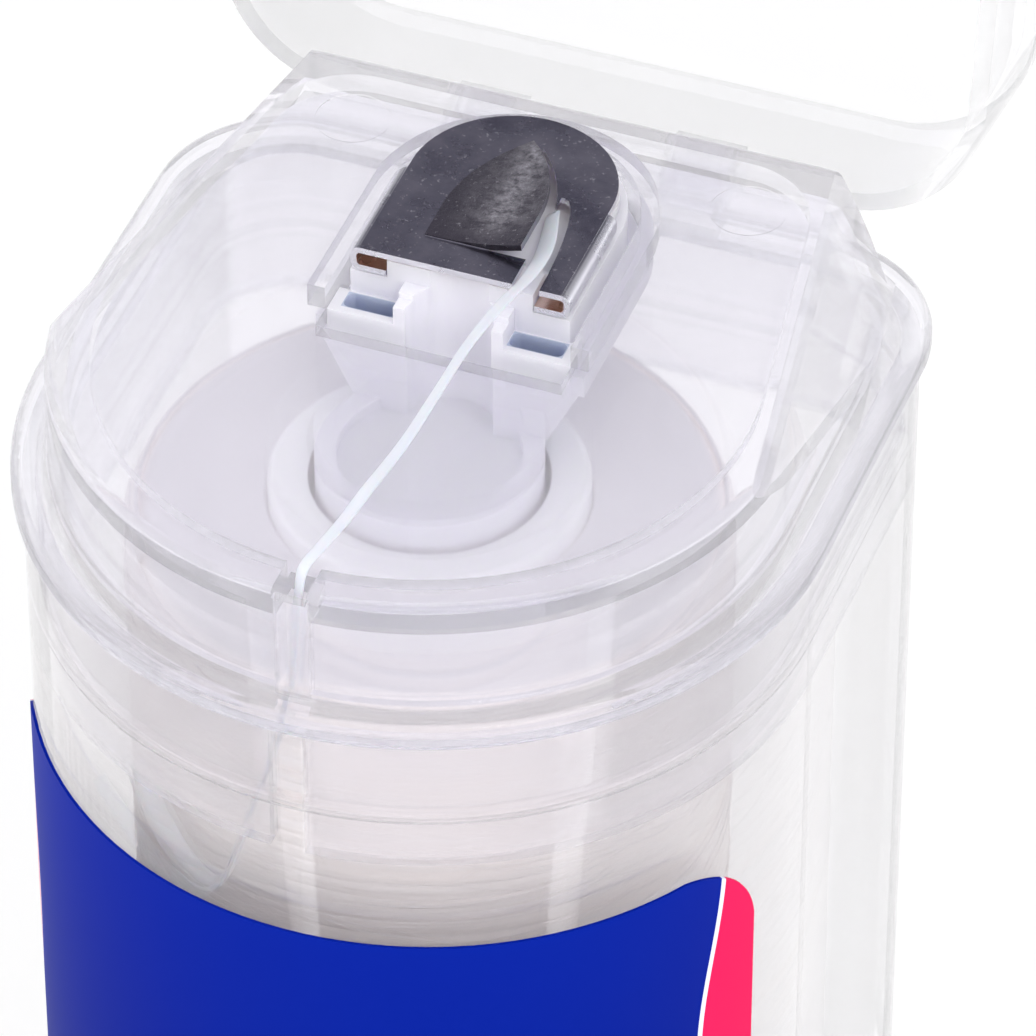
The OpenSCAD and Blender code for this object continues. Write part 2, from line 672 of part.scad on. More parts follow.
// The outer layer of wound floss, with its ends run straight
function turn_at(i) = let (a = 360 * i / turn_steps)
  [turn_r * cos(a), turn_r * sin(a), floss_foot + turn_first + turn_pitch * i / turn_steps];
function turn_run(i) = let (a = 360 * i / turn_steps)
  unit([-turn_r * sin(a), turn_r * cos(a), turn_pitch / (2 * PI)]);
function turn_ring(i, slip) = let (t = turn_run(i), a = 360 * i / turn_steps, u = [cos(a), sin(a), 0])
  ring_at(turn_at(i) + slip * t, u, cross(t, u), turn_d / 2, turn_sides);

module floss_outer_turns() {
  echo(least_gap_between_turns = least_gap);
  color([0.97, 0.96, 0.92]) ring_tube(turn_rings);
}

function strand_run(i) = unit(strand_route[min(i + 1, strand_last)] - strand_route[max(i - 1, 0)]);
function strand_ring(i) = let (t = strand_run(i), u = unit(cross(t, strand_side)), v = cross(t, u))
  ring_at(strand_route[i], u, v, strand_d / 2, strand_sides);

module floss_strand() {
  color([0.98, 0.98, 1]) ring_tube([for (i = [0 : strand_last]) strand_ring(i)]);
}

// Sector of a thin ring round the front of the container
module label_band() {
  rotate([0, 0, -90 - label_turn]) rotate_extrude(angle = 2 * label_turn)
    translate([body_r, label_foot]) square([label_t, label_top - label_foot]);
}

// What is cut off to round a corner, in the plane of that corner
module corner_waste() {
  linear_extrude(body_r) difference() {
    square(2 * label_corner);
    circle(corner_over * label_corner);
  }
}

module front_label() {
  corner_turn = asin(label_corner / body_r);
  color([0.02, 0.16, 0.62]) difference() {
    label_band();
    for (side = [0, 1], end = [0, 1]) mirror([side, 0, 0])
      translate([0, 0, end == 0 ? label_foot + label_corner : label_top - label_corner])
        mirror([0, 0, 1 - end]) rotate([90, 0, label_turn - corner_turn])
          translate([0, 0, body_r / 2]) corner_waste();
  }
}

container_body();
closure();
lid();
floss_guide();
cutter();
bobbin_core();
floss_package();
floss_outer_turns();
floss_strand();
front_label();
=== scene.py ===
"""Dental floss dispenser: camera, materials, floss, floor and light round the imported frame.

Lengths are in mm and are turned into metres by MM, unless a comment says otherwise.
"""
import math
import random

import bpy
from mathutils import Matrix, Vector


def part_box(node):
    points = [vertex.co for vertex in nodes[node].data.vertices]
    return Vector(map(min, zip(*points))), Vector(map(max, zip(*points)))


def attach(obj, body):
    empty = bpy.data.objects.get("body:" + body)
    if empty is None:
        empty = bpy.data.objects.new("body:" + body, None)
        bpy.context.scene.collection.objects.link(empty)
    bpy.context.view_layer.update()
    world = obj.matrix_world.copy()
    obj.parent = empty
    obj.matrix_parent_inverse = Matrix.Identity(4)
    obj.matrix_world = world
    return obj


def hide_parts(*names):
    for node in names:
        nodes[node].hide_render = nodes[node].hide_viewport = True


MM = 0.001
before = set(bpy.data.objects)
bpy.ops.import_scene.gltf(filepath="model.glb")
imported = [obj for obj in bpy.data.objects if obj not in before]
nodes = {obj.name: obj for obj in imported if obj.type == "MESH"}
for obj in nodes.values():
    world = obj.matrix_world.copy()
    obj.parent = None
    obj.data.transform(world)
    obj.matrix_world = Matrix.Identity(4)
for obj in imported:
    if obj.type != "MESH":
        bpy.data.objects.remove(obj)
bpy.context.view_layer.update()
scene = bpy.context.scene

# Camera: the photograph's angle, and its distance and shift from the middle of the closure's rim
AZ, EL = math.radians(20.4), math.radians(41.5)
RIGHT = Vector((math.cos(AZ), math.sin(AZ), 0))
UP = Vector((-math.sin(AZ) * math.sin(EL), math.cos(AZ) * math.sin(EL), math.cos(EL)))
BACK = Vector((math.sin(AZ) * math.cos(EL), -math.cos(AZ) * math.cos(EL), math.sin(EL)))
FRAME_PX = 1036
FOCAL_PX = 8250
SENSOR = 36
DISTANCE, SHIFT_RIGHT, SHIFT_DOWN = 300, 3.25, 6.0
CLIP_METRES = 0.01, 20
RIM_Z = 48.4

camera_data = bpy.data.cameras.new("camera")
camera_data.sensor_width = SENSOR
camera_data.lens = FOCAL_PX / FRAME_PX * SENSOR
camera_data.clip_start, camera_data.clip_end = CLIP_METRES
camera = bpy.data.objects.new("camera", camera_data)
scene.collection.objects.link(camera)
scene.camera = camera
camera_at = Vector((0, 0, RIM_Z)) + DISTANCE * BACK + SHIFT_RIGHT * RIGHT - SHIFT_DOWN * UP
camera.matrix_world = Matrix.Translation(camera_at * MM) @ Matrix((RIGHT, UP, BACK)).transposed().to_4x4()


class Nodes:
    """Short ways to add and join the nodes of a material or a world."""

    def __init__(self, tree, space):
        self.tree = tree
        self.coord = self.add("TexCoord").outputs[space]

    def add(self, kind):
        return self.tree.nodes.new("ShaderNode" + kind)

    def put(self, node, key, value):
        """Joins a socket or sets a value; None leaves the input as it is."""
        if isinstance(value, bpy.types.NodeSocket):
            self.tree.links.new(value, node.inputs[key])
        elif value is not None:
            node.inputs[key].default_value = value

    def maths(self, op, a, b=None, c=None):
        n = self.add("Math")
        n.operation = op
        for i, value in enumerate((a, b, c)):
            self.put(n, i, value)
        return n.outputs[0]

    def noise(self, scale, detail, rough=0.5, vector=None):
        n = self.add("TexNoise")
        self.put(n, "Vector", vector or self.coord)
        self.put(n, "Scale", scale)
        self.put(n, "Detail", detail)
        self.put(n, "Roughness", rough)
        return n.outputs["Fac"]

    def scaled(self, *scale):
        """The place, scaled along x, y and z."""
        n = self.add("Mapping")
        self.put(n, "Vector", self.coord)
        self.put(n, "Scale", scale)
        return n.outputs[0]

    def ramp(self, value, stops, smooth=False):
        """A ramp through (place, colour) stops, in which a number is a grey."""
        n = self.add("ValToRGB")
        n.color_ramp.interpolation = "EASE" if smooth else "LINEAR"
        while len(n.color_ramp.elements) < len(stops):
            n.color_ramp.elements.new(0.5)
        for element, (at, colour) in zip(n.color_ramp.elements, stops):
            element.position = at
            element.color = (*colour, 1) if isinstance(colour, tuple) else (colour, colour, colour, 1)
        self.put(n, "Fac", value)
        return n.outputs["Color"]

    def rise(self, value, low, high, smooth=False):
        """0 up to low and 1 from high on."""
        return self.ramp(value, [(low, 0), (high, 1)], smooth)

    def mix(self, fac, a, b):
        n = self.add("Mix")
        n.data_type = "RGBA"
        self.put(n, "Factor", fac)
        for key, value in (("A", a), ("B", b)):
            socket = [s for s in n.inputs if s.name == key and s.type == "RGBA"][0]
            if isinstance(value, bpy.types.NodeSocket):
                self.tree.links.new(value, socket)
            else:
                socket.default_value = (*value, 1)
        return [s for s in n.outputs if s.type == "RGBA"][0]

    def parts(self, vector=None):
        """The x, y and z of a vector, or of the place."""
        n = self.add("SeparateXYZ")
        self.put(n, 0, vector or self.coord)
        return n.outputs[:3]

    def facing(self):
        """The x, y and z of the surface's normal."""
        return self.parts(self.add("NewGeometry").outputs["Normal"])

    def near(self, value, centre, half):
        """1 where the value is within half of centre, else 0."""
        off = self.maths("ABSOLUTE", self.maths("SUBTRACT", value, centre))
        return self.maths("LESS_THAN", off, half)

    def both(self, *masks):
        """The product of masks: 1 where each of them is."""
        total = masks[0]
        for mask in masks[1:]:
            total = self.maths("MULTIPLY", total, mask)
        return total

    def inward(self):
        """1 on the faces that look towards the object's upright axis."""
        facing, place = self.facing(), self.parts()
        out = self.maths("MULTIPLY_ADD", facing[0], place[0], self.maths("MULTIPLY", facing[1], place[1]))
        return self.maths("LESS_THAN", out, -0.3 * MM)

    def bump(self, height, strength, distance, normal=None):
        n = self.add("Bump")
        self.put(n, "Strength", strength)
        self.put(n, "Distance", distance)
        self.put(n, "Height", height)
        self.put(n, "Normal", normal)
        return n.outputs["Normal"]


class Material(Nodes):
    """The nodes of a new material, with its Principled shader."""

    def __init__(self, name):
        self.mat = bpy.data.materials.new(name)
        self.mat.use_nodes = True
        super().__init__(self.mat.node_tree, "Object")
        self.bsdf = self.tree.nodes["Principled BSDF"]

    def set(self, **values):
        """Puts values on the shader's own inputs, named with _ for a space."""
        for key, value in values.items():
            key = key.replace("_", " ")
            opaque = self.bsdf.inputs[key].type == "RGBA" and isinstance(value, tuple)
            self.put(self.bsdf, key, (*value, 1) if opaque else value)


def clear_plastic(name, colour, rough, milk, bump, ior, body, level_body=None):
    """Moulded clear plastic with a slight cloud and a faint unevenness.

    milk is its cloudy share, and body the share of light that its walls bend. level_body takes the place of
    body on level faces, so that things under them stay sharp.
    """
    m = Material(name)
    cloud = m.noise(scale=110, detail=1.0)
    m.set(Base_Color=m.mix(cloud, tuple(c * 0.985 for c in colour), tuple(min(1, c * 1.015) for c in colour)),
          Roughness=rough, IOR=ior, Transmission_Weight=1.0 - milk, Specular_IOR_Level=0.5)
    if level_body:
        level = m.maths("ABSOLUTE", m.facing()[2])
        body = m.ramp(level, [(0.95, body), (0.99, level_body)])
    m.set(Normal=m.bump(cloud, strength=bump, distance=0.4 * MM), Alpha=body)
    return m.mat


# Painted bluish shade and reflection in the guide's pockets
POCKET_SHADE = (0.42, 0.47, 0.60)


def white_plastic(name, colour, rough, deep, pockets=None, bore_shade=None):
    """Satin white plastic that lets a little light through.

    deep is the share of that light. pockets says where a painted bluish shade and reflection fills its
    pockets, and the last colour is a painted shadow on its faces that look inward.
    """
    m = Material(name)
    grain = m.noise(scale=2600, detail=3.0)
    shade = m.noise(scale=160, detail=2.0)
    base = m.mix(shade, colour, tuple(c * 0.97 for c in colour))
    # Painted bluish shade and reflection inside the pockets
    if pockets:
        (mid_x, mid_y, top), (half_x, half_y) = pockets
        x, y, z = m.parts()
        inside = m.both(m.near(m.maths("ABSOLUTE", x), mid_x * MM, half_x * MM),
                        m.near(y, mid_y * MM, half_y * MM), m.maths("LESS_THAN", z, top * MM))
        base = m.mix(inside, base, POCKET_SHADE)
    # Painted pinkish-brown shadow on the inner wall
    if bore_shade:
        base = m.mix(m.inward(), base, bore_shade)
    m.set(Base_Color=base, Roughness=m.maths("MULTIPLY_ADD", grain, 0.12, rough), IOR=1.5,
          Subsurface_Weight=deep, Subsurface_Scale=1.6 * MM, Subsurface_Radius=(1.0, 0.9, 1.1),
          Normal=m.bump(grain, strength=0.06, distance=0.1 * MM))
    return m.mat


STEEL_DARK, STEEL_LIGHT = (0.058, 0.056, 0.080), (0.122, 0.116, 0.148)
# Tooth: the dark and light tones of its crumpled hollow, then a painted shadow
TOOTH_DARK, TOOTH_LIGHT, TOOTH_SHADOW = (0.085, 0.080, 0.095), (0.34, 0.33, 0.36), (0.050, 0.045, 0.060)
# Painted light on the tooth's faces that look right, and a painted highlight on its lip
TOOTH_SIDE_LIT, TOOTH_LIP_HIGHLIGHT = (0.34, 0.33, 0.37), (0.97, 0.97, 0.99)
# The pits' colour, then painted highlights for the plate's bends and for its front cut edge
SPECKS, BEND_HIGHLIGHT, CUT_EDGE_HIGHLIGHT = (0.42, 0.41, 0.45), (0.93, 0.93, 0.97), (0.95, 0.95, 0.98)
# Painted warm glow inside the folds, copper-coloured
FOLD_GLOW = (0.80, 0.62, 0.54)


def steel(tooth_from, tooth_half, fold_mid, fold_half, fold_in):
    """Dark rolled steel with small pits, and painted highlights on its bends and its front cut edge.

    The tooth, above tooth_from and tooth_half wide to each side, is rougher. It has painted shade along its
    left step and towards its front, painted light across its middle and on its faces that look right, and a
    painted highlight on the lip of its open side. The folds get a painted warm, copper-coloured glow inside,
    at heights within fold_half of fold_mid and within fold_in sideways.
    """
    m = Material("dark_steel")
    rolled = m.noise(scale=1.0, detail=4.0, rough=0.6, vector=m.scaled(900, 7000, 900))
    cloud = m.noise(scale=420, detail=4.0, rough=0.6)
    pits = m.noise(scale=5200, detail=2.0, rough=0.7)
    crumple = m.noise(scale=2300, detail=5.0, rough=0.75)
    facing = m.facing()
    x, y, z = m.parts()
    lean = m.maths("ABSOLUTE", facing[2])
    # Painted highlight on the plate's bends, set by how far their faces lean from level
    bend_highlight = m.ramp(lean, [(0.10, 0.8), (0.45, 1), (0.88, 0.3), (0.98, 0)], smooth=True)
    on_tooth = m.maths("GREATER_THAN", z, tooth_from * MM)
    on_plate = m.maths("SUBTRACT", 1.0, on_tooth)
    # Faces that look to the front: on the plate this cut edge gets a painted highlight
    front_edge = m.maths("LESS_THAN", facing[1], -0.6)
    # Tooth faces that look right, which are painted lighter
    open_side = m.both(m.maths("GREATER_THAN", facing[0], 0.2), on_tooth)
    # The lip on the tooth's open side, which gets a painted highlight
    lip = m.both(open_side, m.near(lean, 0.62, 0.34))
    # Inside the folds, where the painted warm glow goes
    in_fold = m.both(m.near(z, fold_mid * MM, fold_half * MM),
                     m.maths("LESS_THAN", m.maths("ABSOLUTE", x), fold_in * MM),
                     m.maths("SUBTRACT", 1.0, front_edge))

    # Painted shade and light on the tooth: dark at its left step and towards its front, lighter across its
    # middle
    across = m.maths("MULTIPLY_ADD", x, 1 / (2 * tooth_half * MM), 0.5)
    lit_across = m.ramp(across, [(0.02, 0), (0.30, 0.25), (0.60, 1), (0.85, 0.35), (1.0, 0.2)], smooth=True)
    lit_back = m.ramp(m.maths("MULTIPLY", y, 100.0), [(0.48, 0.15), (0.66, 1)], smooth=True)
    hollow = m.mix(m.rise(crumple, 0.38, 0.66), TOOTH_DARK, TOOTH_LIGHT)
    tooth = m.mix(m.both(lit_across, lit_back), TOOTH_SHADOW, hollow)
    base = m.mix(m.rise(cloud, 0.35, 0.7), STEEL_DARK, STEEL_LIGHT)
    for where, colour in ((on_tooth, tooth), (m.maths("MULTIPLY", m.rise(pits, 0.62, 0.74), 0.45), SPECKS),
                          (m.both(bend_highlight, on_plate), BEND_HIGHLIGHT), (m.both(front_edge, on_plate), CUT_EDGE_HIGHLIGHT),
                          (open_side, TOOTH_SIDE_LIT), (lip, TOOTH_LIP_HIGHLIGHT), (in_fold, FOLD_GLOW)):
        base = m.mix(where, base, colour)

    normal = m.bump(rolled, strength=0.10, distance=0.04 * MM)
    normal = m.bump(m.both(crumple, on_tooth), strength=0.9, distance=0.10 * MM, normal=normal)
    normal = m.bump(pits, strength=0.16, distance=0.05 * MM, normal=normal)
    rough = m.maths("MULTIPLY_ADD", cloud, 0.20, m.maths("MULTIPLY_ADD", on_tooth, 0.16, 0.18))
    m.set(Base_Color=base, Metallic=1.0, Roughness=rough, Normal=normal)
    return m.mat


def floss_material(name, fibre_scale, colour, warm, ends):
    """Bundled filaments: fine lines along the turns, with a soft sheen. ends is a painted shade, a colour
    darker than the sides that the upper faces get.
    """
    m = Material(name)
    fibres = m.noise(scale=1.0, detail=4.0, rough=0.6, vector=m.scaled(140, 140, fibre_scale))
    broad = m.noise(scale=1.0, detail=2.0, rough=0.5, vector=m.scaled(60, 60, 420))
    tone = m.mix(m.rise(broad, 0.38, 0.64, smooth=True), colour, warm)
    side = m.mix(m.rise(fibres, 0.35, 0.65), tone, tuple(min(1, c * 1.02) for c in colour))
    # Upward faces get the darker ends colour: painted shade on the package's ends
    m.set(Base_Color=m.mix(m.rise(m.facing()[2], 0.5, 0.9), side, ends), Roughness=0.55, Sheen_Weight=0.25,
          Sheen_Roughness=0.4, Normal=m.bump(fibres, strength=0.30, distance=0.12 * MM))
    return m.mat


def strand_material():
    """Waxed filament tape, whitish and half clear."""
    m = Material("floss_tape")
    fibres = m.noise(scale=1.0, detail=3.0, rough=0.6, vector=m.scaled(5000, 500, 2500))
    m.set(Base_Color=m.mix(fibres, (0.84, 0.86, 0.93), (0.93, 0.935, 0.97)), Roughness=0.45,
          Sheen_Weight=0.2, Transmission_Weight=0.40, IOR=1.35, Subsurface_Weight=0.3,
          Subsurface_Scale=0.5 * MM, Normal=m.bump(fibres, strength=0.3, distance=0.04 * MM))
    return m.mat


BLUE_LOW, BLUE_HIGH, BLUE_CLOUD = (0.0, 0.005, 0.13), (0.0, 0.013, 0.30), (0.0, 0.025, 0.40)
CRIMSON, WHITE_LINE, PALE_WAVE = (0.80, 0.012, 0.10), (0.75, 0.80, 0.95), (0.30, 0.55, 0.95)
BACKING = (0.93, 0.93, 0.94)
LINE_FROM, LINE_TO, WAVES_TO = 63.6, 64.5, 60.0
SWAY_DEGREES, SWAY_LENGTH = 2.2, 19
WAVE_HEIGHTS = ((12.5, 0.35), (10.5, 0.22))
RIPPLE, RIPPLE_DEGREES = 1.6, 26


def label_material():
    """Printed sheet on a white backing: blue with two thin waves, and a white line and crimson at each end.

    Along the label, places are in degrees from the front, and the ends' borders sway with the height.
    """
    m = Material("label_print")
    x, y, z = m.parts()
    turn = m.maths("MULTIPLY", m.maths("ARCTAN2", x, m.maths("MULTIPLY", y, -1.0)), 180 / math.pi)
    sway = m.maths("SINE", m.maths("MULTIPLY", z, 2 * math.pi / (SWAY_LENGTH * MM)))
    edge = m.maths("ADD", m.maths("ABSOLUTE", turn), m.maths("MULTIPLY", sway, SWAY_DEGREES))
    blue = m.mix(m.maths("MULTIPLY_ADD", z, 22.0, 0.12), BLUE_LOW, BLUE_HIGH)
    blue = m.mix(m.maths("MULTIPLY", m.noise(scale=60, detail=2.0), 0.2), blue, BLUE_CLOUD)
    ink = m.mix(m.maths("GREATER_THAN", edge, LINE_TO), blue, CRIMSON)
    on_line = m.both(m.maths("GREATER_THAN", edge, LINE_FROM), m.maths("LESS_THAN", edge, LINE_TO))
    ink = m.mix(on_line, ink, WHITE_LINE)
    ripple = m.maths("SINE", m.maths("MULTIPLY", turn, math.pi / RIPPLE_DEGREES))
    height = m.maths("ADD", z, m.maths("MULTIPLY", ripple, RIPPLE * MM))
    for at, half in WAVE_HEIGHTS:
        on_wave = m.both(m.near(height, at * MM, half * MM), m.maths("LESS_THAN", edge, WAVES_TO))
        ink = m.mix(on_wave, ink, PALE_WAVE)
    fine = m.noise(scale=3000, detail=2.0)
    m.set(Base_Color=m.mix(m.inward(), ink, BACKING), Roughness=0.5, Specular_IOR_Level=0.03,
          Normal=m.bump(fine, strength=0.02, distance=0.05 * MM))
    return m.mat


def dress(name, material):
    """Gives a carried-over node its material."""
    nodes[name].data.materials.clear()
    nodes[name].data.materials.append(material)


def add_mesh(name, verts, faces, material):
    """A new object, with its vertices in metres."""
    mesh = bpy.data.meshes.new(name)
    mesh.from_pydata(verts, [], faces)
    mesh.update()
    mesh.materials.append(material)
    obj = bpy.data.objects.new(name, mesh)
    scene.collection.objects.link(obj)
    return obj


def smooth_piece(name, verts, faces, material):
    """A smooth piece, from vertices in mm."""
    obj = add_mesh(name, [Vector(v) * MM for v in verts], faces, material)
    obj.data.polygons.foreach_set("use_smooth", [True] * len(faces))
    return obj


def circle(count):
    """The angles of so many even steps round."""
    return [2 * math.pi * k / count for k in range(count)]


def section(middle, along, half_along, across, half_across, sides):
    """The points of an oval round a middle."""
    return [middle + along * (half_along * math.cos(b)) + across * (half_across * math.sin(b))
            for b in circle(sides)]


def tube(first, rings, sides):
    """The faces between the rings of a tube, the vertices of which start at first."""
    return [(first + i * sides + k, first + i * sides + (k + 1) % sides,
             first + (i + 1) * sides + (k + 1) % sides, first + (i + 1) * sides + k)
            for i in range(rings - 1) for k in range(sides)]


def turned(faces):
    """The same four-sided faces, seen from their other side."""
    return [(a, d, c, b) for a, b, c, d in faces]


# Loose strand: the route of the source's strand, from the wound floss to its end under the tooth
STRAND = [
    (-8.2, -9, 33.4), (-7.2, -10, 32.8), (-6.1, -10.9, 32.1), (-5, -11.7, 31.7), (-3.9, -12.3, 31.7),
    (-3.1, -12.6, 32.6), (-2.6, -12.8, 34), (-2.2, -12.9, 35.4), (-1.8, -12.9, 36.8), (-1.4, -12.9, 38.2),
    (-1, -12.9, 39.6), (-0.7, -12.9, 41), (-0.4, -13, 42.4), (-0.2, -13.1, 43.8), (-0.1, -13.1, 45.2),
    (0, -13.15, 46.6), (0.1, -13.15, 47.8), (0.2, -12.9, 48.8), (0.5, -11.9, 49.1), (0.8, -10.4, 49.2),
    (1, -8.8, 49.3), (1.2, -7.2, 49.3), (1.4, -5.6, 49.4), (1.5, -4, 49.5), (1.6, -2.4, 49.6),
    (1.7, -0.8, 49.7), (1.95, 0.8, 49.85), (2.25, 2.2, 49.95), (2.5, 3.4, 49.9), (2.55, 4.6, 49.8),
    (2.4, 5.8, 49.6), (2.15, 6.9, 49.5), (1.9, 7.9, 49.4)]
STRAND_THICK, STRAND_SIDES, PER_SPAN = 0.14, 12, 5
STRAND_FACING = (0, -1, 0.2)


def smooth_path(points, per_span):
    """Catmull-Rom points through the given ones."""
    p = [Vector(q) for q in points]
    p = [2 * p[0] - p[1]] + p + [2 * p[-1] - p[-2]]
    out = []
    for i in range(1, len(p) - 2):
        for k in range(per_span):
            t = k / per_span
            out.append(0.5 * ((2 * p[i]) + (p[i + 1] - p[i - 1]) * t
                              + (2 * p[i - 1] - 5 * p[i] + 4 * p[i + 1] - p[i + 2]) * t * t
                              + (3 * p[i] - p[i - 1] - 3 * p[i + 1] + p[i + 2]) * t ** 3))
    out.append(p[-2])
    return out


def strand_width(s):
    """The width at share s of the route: widest at the wound floss and again at the cutter's slot."""
    return (0.56 + 0.05 * math.sin(21 * s + 1.0) + 0.46 * math.exp(-((s - 0.88) / 0.09) ** 2)
            + 0.36 * max(0.0, 1 - s / 0.5))


def strand_twist(s):
    """The turn about the route, in radians, at share s of it."""
    return 0.9 * math.sin(7.5 * s) * (1 - s)


def tape(path):
    """Flat closed tube along a path, with the strand's widths and twists."""
    verts = []
    last = len(path) - 1
    normal = Vector(STRAND_FACING)
    for i, c in enumerate(path):
        t = (path[min(i + 1, last)] - path[max(i - 1, 0)]).normalized()
        normal = (normal - normal.dot(t) * t).normalized()
        across = t.cross(normal).normalized()
        twist = strand_twist(i / last)
        u = math.cos(twist) * across + math.sin(twist) * normal
        verts += section(c, u, strand_width(i / last) / 2, t.cross(u), STRAND_THICK / 2, STRAND_SIDES)
    ends = [tuple(reversed(range(STRAND_SIDES))), tuple(range(last * STRAND_SIDES, len(verts)))]
    return verts, tube(0, len(path), STRAND_SIDES) + ends


path = smooth_path(STRAND, PER_SPAN)
strand = smooth_piece("floss_tape", *tape(path), strand_material())
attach(strand, "container")
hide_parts("floss_strand")

# Wound floss: its heights and radii come from the boxes of the nodes that it replaces or lies on
pack_low, pack_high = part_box("floss_package")
FOOT, TOP = pack_low.z / MM, pack_high.z / MM
R_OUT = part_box("floss_outer_turns")[1].x / MM
CORE_GAP, TURNS_DEPTH = 0.04, 0.42
R_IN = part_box("bobbin_core")[1].x / MM + CORE_GAP
R_PACK = R_OUT - TURNS_DEPTH
EDGE_R = 0.9
RIDGES = 26
RING_STEPS = 144
PITCH, TURN_WIDE, TURN_THICK, TURN_LEAN = 0.62, 1.05, 0.34, 0.16
TURN_STEPS, TURN_SIDES, TURN_END = 60, 8, 0.75
WANDERS, WANDER_STEPS, WANDER_UP, WANDER_OUT = 97, 11, 0.10, 0.03
TUCK_IN, TUCK_OVER = 0.35, 0.9
STRAYS, STRAY_SIDES = 150, 4
RISE = Vector((0, 0, 1))
random.seed(7)


def outward(angle):
    return Vector((math.cos(angle), math.sin(angle), 0))


def pack_profile():
    """The package: its ends are slightly domed and ridged where the turns lie side by side."""
    flat = R_PACK - EDGE_R
    top = [(R_IN + (flat - R_IN) * k / RIDGES, TOP - 0.16 + 0.05 * (k % 2) - 0.12 * (k / RIDGES) ** 3)
           for k in range(RIDGES + 1)]
    edge = [(flat + EDGE_R * math.sin(a), TOP - 1.18 + EDGE_R * math.cos(a)) for a in (0.35, 0.7, 1.05, 1.4)]
    side = [(R_PACK, TOP - 1.6), (R_PACK, FOOT + 1.4)]
    low = [(r, FOOT + TOP - z) for r, z in reversed(top + edge)]
    return top + edge + side + low


def ring_mesh(profile, steps):
    """Solid of revolution from (radius, height) points, closed round the profile."""
    n = len(profile)
    verts = [(r * math.cos(a), r * math.sin(a), z) for a in circle(steps) for r, z in profile]
    faces = [(i * n + j, (i + 1) % steps * n + j, (i + 1) % steps * n + (j + 1) % n, i * n + (j + 1) % n)
             for i in range(steps) for j in range(n)]
    return verts, faces


def turn_band():
    """The outer layer: one flat helix, each turn lying a little over the one below.

    The turns wander a little up and out, and the first and last ones are tucked in.
    """
    verts = []
    low, high = FOOT + TURN_END, TOP - TURN_END
    count = int((high - low) / PITCH * TURN_STEPS)
    drift = [random.uniform(-1, 1) for _ in range(WANDERS)]
    for i in range(count + 1):
        at, part = i // WANDER_STEPS, i / WANDER_STEPS % 1
        wander = drift[at % WANDERS] * (1 - part) + drift[(at + 1) % WANDERS] * part
        z = low + PITCH * i / TURN_STEPS + WANDER_UP * wander
        full = min(1.0, (z - low + 0.2) / TUCK_OVER, (high - z + 0.2) / TUCK_OVER)
        r = R_OUT - TURN_THICK / 2 - 0.06 - TUCK_IN * (1 - max(0.0, full)) + WANDER_OUT * wander
        out = outward(2 * math.pi * i / TURN_STEPS)
        u = RISE * math.cos(TURN_LEAN) - out * math.sin(TURN_LEAN)
        v = out * math.cos(TURN_LEAN) + RISE * math.sin(TURN_LEAN)
        verts += section(out * r + RISE * z, u, TURN_WIDE / 2, v, TURN_THICK / 2, TURN_SIDES)
    return verts, turned(tube(0, count + 1, TURN_SIDES))


def stray_filament(number, first):
    """A fine filament that crosses the turns at a slight slope."""
    verts = []
    start = random.uniform(0, 2 * math.pi)
    span = random.uniform(0.5, 2.6)
    height = random.uniform(FOOT + 1.6, TOP - 1.6)
    slope = random.choice((-1, 1)) * random.uniform(0.3, 3.2)
    fine = random.uniform(0.035, 0.075)
    steps = int(12 * span) + 4
    for i in range(steps + 1):
        t = i / steps
        z = min(TOP - 1.2, max(FOOT + 1.2, height + slope * t + 0.15 * math.sin(6 * t + number)))
        r = R_OUT - 0.02 - 0.16 * abs(2 * t - 1) ** 3
        out = outward(start + span * t)
        verts += section(out * r + RISE * z, out, fine / 2, RISE, fine, STRAY_SIDES)
    return verts, turned(tube(first, steps + 1, STRAY_SIDES))


# The darker colour of the ends is painted shade
winding = floss_material("wound_floss", fibre_scale=5200, colour=(0.995, 0.945, 0.935),
                         warm=(0.995, 0.920, 0.870), ends=(0.76, 0.74, 0.765))
package = smooth_piece("floss_pack", *ring_mesh(pack_profile(), RING_STEPS), winding)
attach(package, "bobbin")
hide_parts("floss_package")

verts, faces = turn_band()
for number in range(STRAYS):
    more_verts, more_faces = stray_filament(number, len(verts))
    verts += more_verts
    faces += more_faces
turns = smooth_piece("floss_turns", verts, faces, winding)
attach(turns, "bobbin")
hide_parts("floss_outer_turns")

# Carried-over nodes: places and sizes are those of the source
STEEL_TOP = RIM_Z + 1.35
POCKETS = (3.25, 2.7, RIM_Z - 0.15), (1.08, 0.43)

dress("container_body", clear_plastic("clear_container", (0.985, 0.978, 0.995), rough=0.03, milk=0.02,
                                      bump=0.05, ior=1.33, body=0.6))
dress("lid", clear_plastic("clear_lid", (0.985, 0.985, 0.997), rough=0.03, milk=0.04, bump=0.05, ior=1.28,
                           body=0.5))
dress("closure", clear_plastic("milky_closure", (0.95, 0.943, 0.985), rough=0.08, milk=0.11, bump=0.08,
                               ior=1.29, body=0.6, level_body=0.88))
dress("floss_guide", white_plastic("guide_plastic", (0.75, 0.745, 0.80), rough=0.38, deep=0.5,
                                   pockets=POCKETS))
# The core's inner wall gets a painted pinkish-brown shadow
dress("bobbin_core", white_plastic("core_plastic", (0.95, 0.95, 0.96), rough=0.40, deep=0.35,
                                   bore_shade=(0.78, 0.68, 0.67)))
dress("cutter", steel(tooth_from=STEEL_TOP + 0.04, tooth_half=1.9, fold_mid=STEEL_TOP - 0.525,
                      fold_half=0.285, fold_in=4.13))
dress("front_label", label_material())


